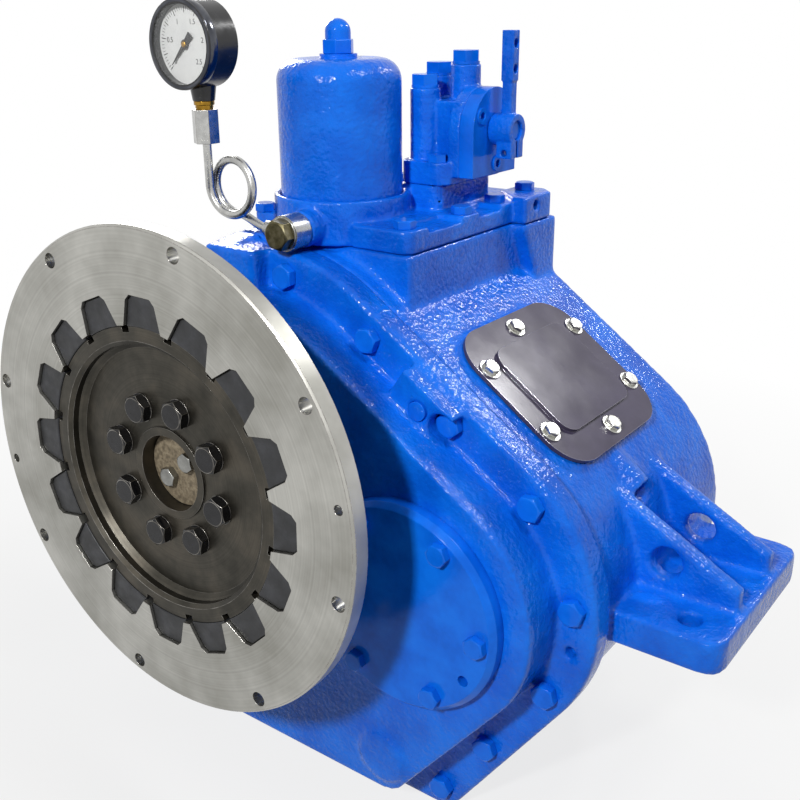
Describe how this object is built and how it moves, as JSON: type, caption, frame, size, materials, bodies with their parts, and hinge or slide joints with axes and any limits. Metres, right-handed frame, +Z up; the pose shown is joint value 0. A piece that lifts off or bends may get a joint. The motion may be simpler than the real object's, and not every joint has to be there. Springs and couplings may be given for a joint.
{
  "type": "marine gearbox",
  "caption": "Blue cast marine reduction gearbox with rubber-block flywheel coupling, oil filter, control valve and lever, pressure gauge, mounting feet and output flange",
  "frame": {"origin": "centre of the driving ring's front face", "axes": "+X to the right seen from the engine side, +Y aft along the shafts, +Z up"},
  "size_m": [0.696, 0.485, 0.6016],
  "materials": {
    "blue_enamel": "thick glossy enamel over castings",
    "machined_steel": "turned and ground steel",
    "coupling_rubber": "moulded black rubber",
    "dark_iron": "oiled dark iron",
    "black_oxide": "black oxide",
    "tan_plate": "dry yellow-passivated plate",
    "gear_steel": "ground teeth",
    "sinter_bronze": "sintered friction plate",
    "bearing_steel": "polished",
    "seal_rubber": "moulded",
    "filter_paper": "pleated paper",
    "plum_plate": "plum-grey gloss with polished edges",
    "gasket_black": "sheet gasket",
    "bright_zinc": "bright zinc plate",
    "olive_zinc": "olive passivated zinc",
    "copper_washer": "annealed copper",
    "bright_tube": "bright drawn tube",
    "gauge_brass": "machined brass",
    "gauge_black": "black lacquer",
    "dial_white": "printed dial",
    "gauge_glass": "clear window",
    "pointer_black": "black pointer"
  },
  "bodies": {
    "case": {"front_case": "blue_enamel", "rear_case": "blue_enamel", "case_bolts": "blue_enamel", "input_seal_cover": "blue_enamel", "counter_front_cover": "blue_enamel", "front_cover_bolts": "blue_enamel", "counter_rear_cover": "blue_enamel", "output_bearing_cover": "blue_enamel", "oil_seals": "seal_rubber", "rear_cover_bolts": "blue_enamel", "oil_pump": "blue_enamel", "case_plugs": "blue_enamel", "top_cover": "blue_enamel", "top_cover_bolts": "blue_enamel", "filter_canister": "blue_enamel", "filter_element": "filter_paper", "filter_centre_bolt": "blue_enamel", "inspection_cover": "plum_plate", "inspection_gasket": "gasket_black", "inspection_screws": "bright_zinc", "banjo_bolt": "olive_zinc", "banjo_eye": "bright_zinc", "banjo_washers": "copper_washer", "gauge_pipe": "bright_tube", "pipe_nut": "bright_tube", "gauge_stem": "gauge_brass", "gauge_case": "gauge_black", "gauge_dial": "dial_white", "gauge_glass": "gauge_glass", "valve_body": "blue_enamel", "valve_plugs": "blue_enamel", "valve_end_plate": "blue_enamel", "valve_screws": "blue_enamel", "bearing_outer_rings": "bearing_steel"},
    "input": {"driving_ring": "machined_steel", "rubber_blocks": "coupling_rubber", "coupling_hub": "dark_iron", "hub_bolts": "black_oxide", "hub_end_plate": "tan_plate", "end_plate_screws": "black_oxide", "input_shaft": "machined_steel", "input_gear": "gear_steel", "forward_clutch_drum": "dark_iron", "forward_clutch_plates": "sinter_bronze", "input_bearing_inner_rings": "bearing_steel"},
    "counter": {"counter_shaft": "machined_steel", "counter_gear": "gear_steel", "reverse_clutch_drum": "dark_iron", "reverse_clutch_plates": "sinter_bronze", "counter_bearing_inner_rings": "bearing_steel"},
    "output": {"output_shaft": "machined_steel", "output_wheel": "gear_steel", "output_flange": "machined_steel", "output_nut": "black_oxide", "output_bearing_inner_rings": "bearing_steel"},
    "forward": {"forward_pinion": "gear_steel"},
    "reverse": {"reverse_pinion": "gear_steel"},
    "pointer": {"gauge_pointer": "pointer_black"},
    "lever": {"control_spindle": "machined_steel", "control_lever": "blue_enamel"}
  },
  "joints": [
    {"name": "input_spin", "type": "hinge", "parent": "case", "child": "input", "pos_m": [0, 0.1, 0], "axis": [0, 1, 0], "continuous": true},
    {"name": "counter_spin", "type": "hinge", "parent": "case", "child": "counter", "pos_m": [0.14837, 0.2, -0.08701], "axis": [0, 1, 0], "continuous": true},
    {"name": "output_spin", "type": "hinge", "parent": "case", "child": "output", "pos_m": [0, 0.3, -0.17], "axis": [0, 1, 0], "continuous": true},
    {"name": "forward_pinion_spin", "type": "hinge", "parent": "case", "child": "forward", "pos_m": [0, 0.29, 0], "axis": [0, 1, 0], "continuous": true},
    {"name": "reverse_pinion_spin", "type": "hinge", "parent": "case", "child": "reverse", "pos_m": [0.14837, 0.29, -0.08701], "axis": [0, 1, 0], "continuous": true},
    {"name": "control_lever_swing", "type": "hinge", "parent": "case", "child": "lever", "pos_m": [0.1, 0.278, 0.214], "axis": [1, 0, 0], "range_deg": [-30, 30]},
    {"name": "gauge_pointer_swing", "type": "hinge", "parent": "case", "child": "pointer", "pos_m": [-0.055, 0.108, 0.279], "axis": [0, 1, 0], "range_deg": [0, 270]}
  ],
  "couplings": [
    {"joint": "counter_spin", "follows": "input_spin", "ratio": -1},
    {"joint": "forward_pinion_spin", "follows": "output_spin", "ratio": -1.5758},
    {"joint": "reverse_pinion_spin", "follows": "output_spin", "ratio": -1.5758}
  ]
}
